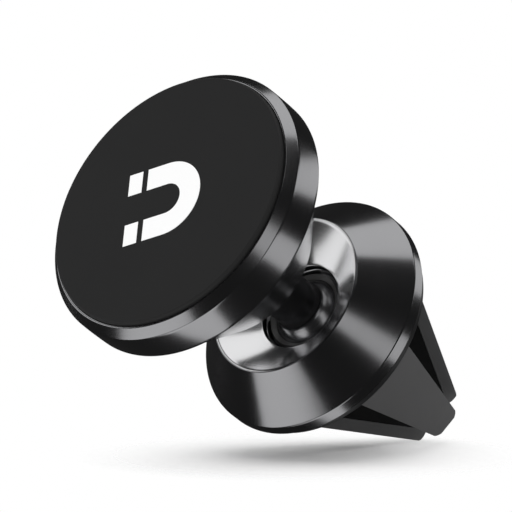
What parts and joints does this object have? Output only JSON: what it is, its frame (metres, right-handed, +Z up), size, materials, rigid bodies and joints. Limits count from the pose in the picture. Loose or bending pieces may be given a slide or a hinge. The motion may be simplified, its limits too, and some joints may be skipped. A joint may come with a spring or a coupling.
{
  "type": "car phone mount",
  "caption": "Magnetic phone mount for a car's air vent: round magnetic head on a ball joint, with a turned knob that closes a tapering jaw clip on one vent blade.",
  "frame": {"origin": "on the mount's axis, at the point between the jaw tips where they hold the vent blade", "axes": "+Y along the mount's axis, from the phone's face into the vent; +Z up; the jaws stand at 45 degrees between X and Z"},
  "size_m": [0.04, 0.065, 0.04],
  "materials": {
    "gloss_black_aluminium": "polished, black anodised",
    "pad_silicone": "matt, smooth",
    "white_print": "matt print",
    "adhesive": "double-sided tape",
    "nickel_plate": "nickel plated",
    "carrier_plastic": "moulded",
    "zinc_steel": "zinc plated",
    "brass": "turned",
    "black_steel": "gloss black",
    "nylon": "smooth",
    "clip_plastic": "moulded",
    "ring_plastic": "satin",
    "jaw_plastic": "fine moulded grain",
    "black_rubber": "matt"
  },
  "bodies": {
    "clip": {"clip_hub": "clip_plastic", "socket_cap": "gloss_black_aluminium", "jaw_pins": "zinc_steel", "spreader_ring": "black_rubber"},
    "closer": {"closing_ring": "nylon"},
    "knob": {"knob_shell": "gloss_black_aluminium", "thread_insert": "brass", "rear_ring": "ring_plastic", "drag_ring": "black_rubber"},
    "socket_liner": {"ball_liner": "nylon"},
    "stem": {"ball_stud": "black_steel", "spin_washer": "zinc_steel", "stud_screw": "zinc_steel"},
    "head": {"face_pad": "pad_silicone", "emblem": "white_print", "pad_tape": "adhesive", "magnets": "nickel_plate", "magnet_carrier": "carrier_plastic", "yoke_plate": "zinc_steel", "yoke_screws": "zinc_steel", "bezel_ring": "gloss_black_aluminium", "back_shell": "gloss_black_aluminium", "spin_bush": "brass"},
    "jaw_1": {"jaw_plate_1": "jaw_plastic", "jaw_grip_1": "black_rubber"},
    "jaw_2": {"jaw_plate_2": "jaw_plastic", "jaw_grip_2": "black_rubber"},
    "jaw_3": {"jaw_plate_3": "jaw_plastic", "jaw_grip_3": "black_rubber"},
    "jaw_4": {"jaw_plate_4": "jaw_plastic", "jaw_grip_4": "black_rubber"}
  },
  "joints": [
    {"name": "closer_slide", "type": "slide", "parent": "clip", "child": "closer", "axis": [0, -1, 0], "range_m": [0, 0.001]},
    {"name": "knob_turn", "type": "hinge", "parent": "closer", "child": "knob", "pos_m": [0, 0, 0], "axis": [0, 1, 0], "range_deg": [0, 360]},
    {"name": "head_pan", "type": "hinge", "parent": "clip", "child": "socket_liner", "pos_m": [0, -0.0257, 0], "axis": [0, 0, 1], "range_deg": [-15, 15]},
    {"name": "head_tilt", "type": "hinge", "parent": "socket_liner", "child": "stem", "pos_m": [0, -0.0257, 0], "axis": [1, 0, 0], "range_deg": [-15, 15]},
    {"name": "head_spin", "type": "hinge", "parent": "stem", "child": "head", "pos_m": [0, -0.0257, 0], "axis": [0, 1, 0], "continuous": true},
    {"name": "jaw_1_open", "type": "hinge", "parent": "clip", "child": "jaw_1", "pos_m": [0.00721, -0.0237, 0.00721], "axis": [0.7071, 0, -0.7071], "range_deg": [0, 12]},
    {"name": "jaw_2_open", "type": "hinge", "parent": "clip", "child": "jaw_2", "pos_m": [0.00721, -0.0237, -0.00721], "axis": [-0.7071, 0, -0.7071], "range_deg": [0, 12]},
    {"name": "jaw_3_open", "type": "hinge", "parent": "clip", "child": "jaw_3", "pos_m": [-0.00721, -0.0237, -0.00721], "axis": [-0.7071, 0, 0.7071], "range_deg": [0, 12]},
    {"name": "jaw_4_open", "type": "hinge", "parent": "clip", "child": "jaw_4", "pos_m": [-0.00721, -0.0237, 0.00721], "axis": [0.7071, 0, 0.7071], "range_deg": [0, 12]}
  ],
  "couplings": [
    {"joint": "closer_slide", "follows": "knob_turn", "m_per_rad": 0.00015915},
    {"joint": "jaw_1_open", "follows": "knob_turn", "ratio": 0.033333},
    {"joint": "jaw_2_open", "follows": "knob_turn", "ratio": 0.033333},
    {"joint": "jaw_3_open", "follows": "knob_turn", "ratio": 0.033333},
    {"joint": "jaw_4_open", "follows": "knob_turn", "ratio": 0.033333}
  ]
}
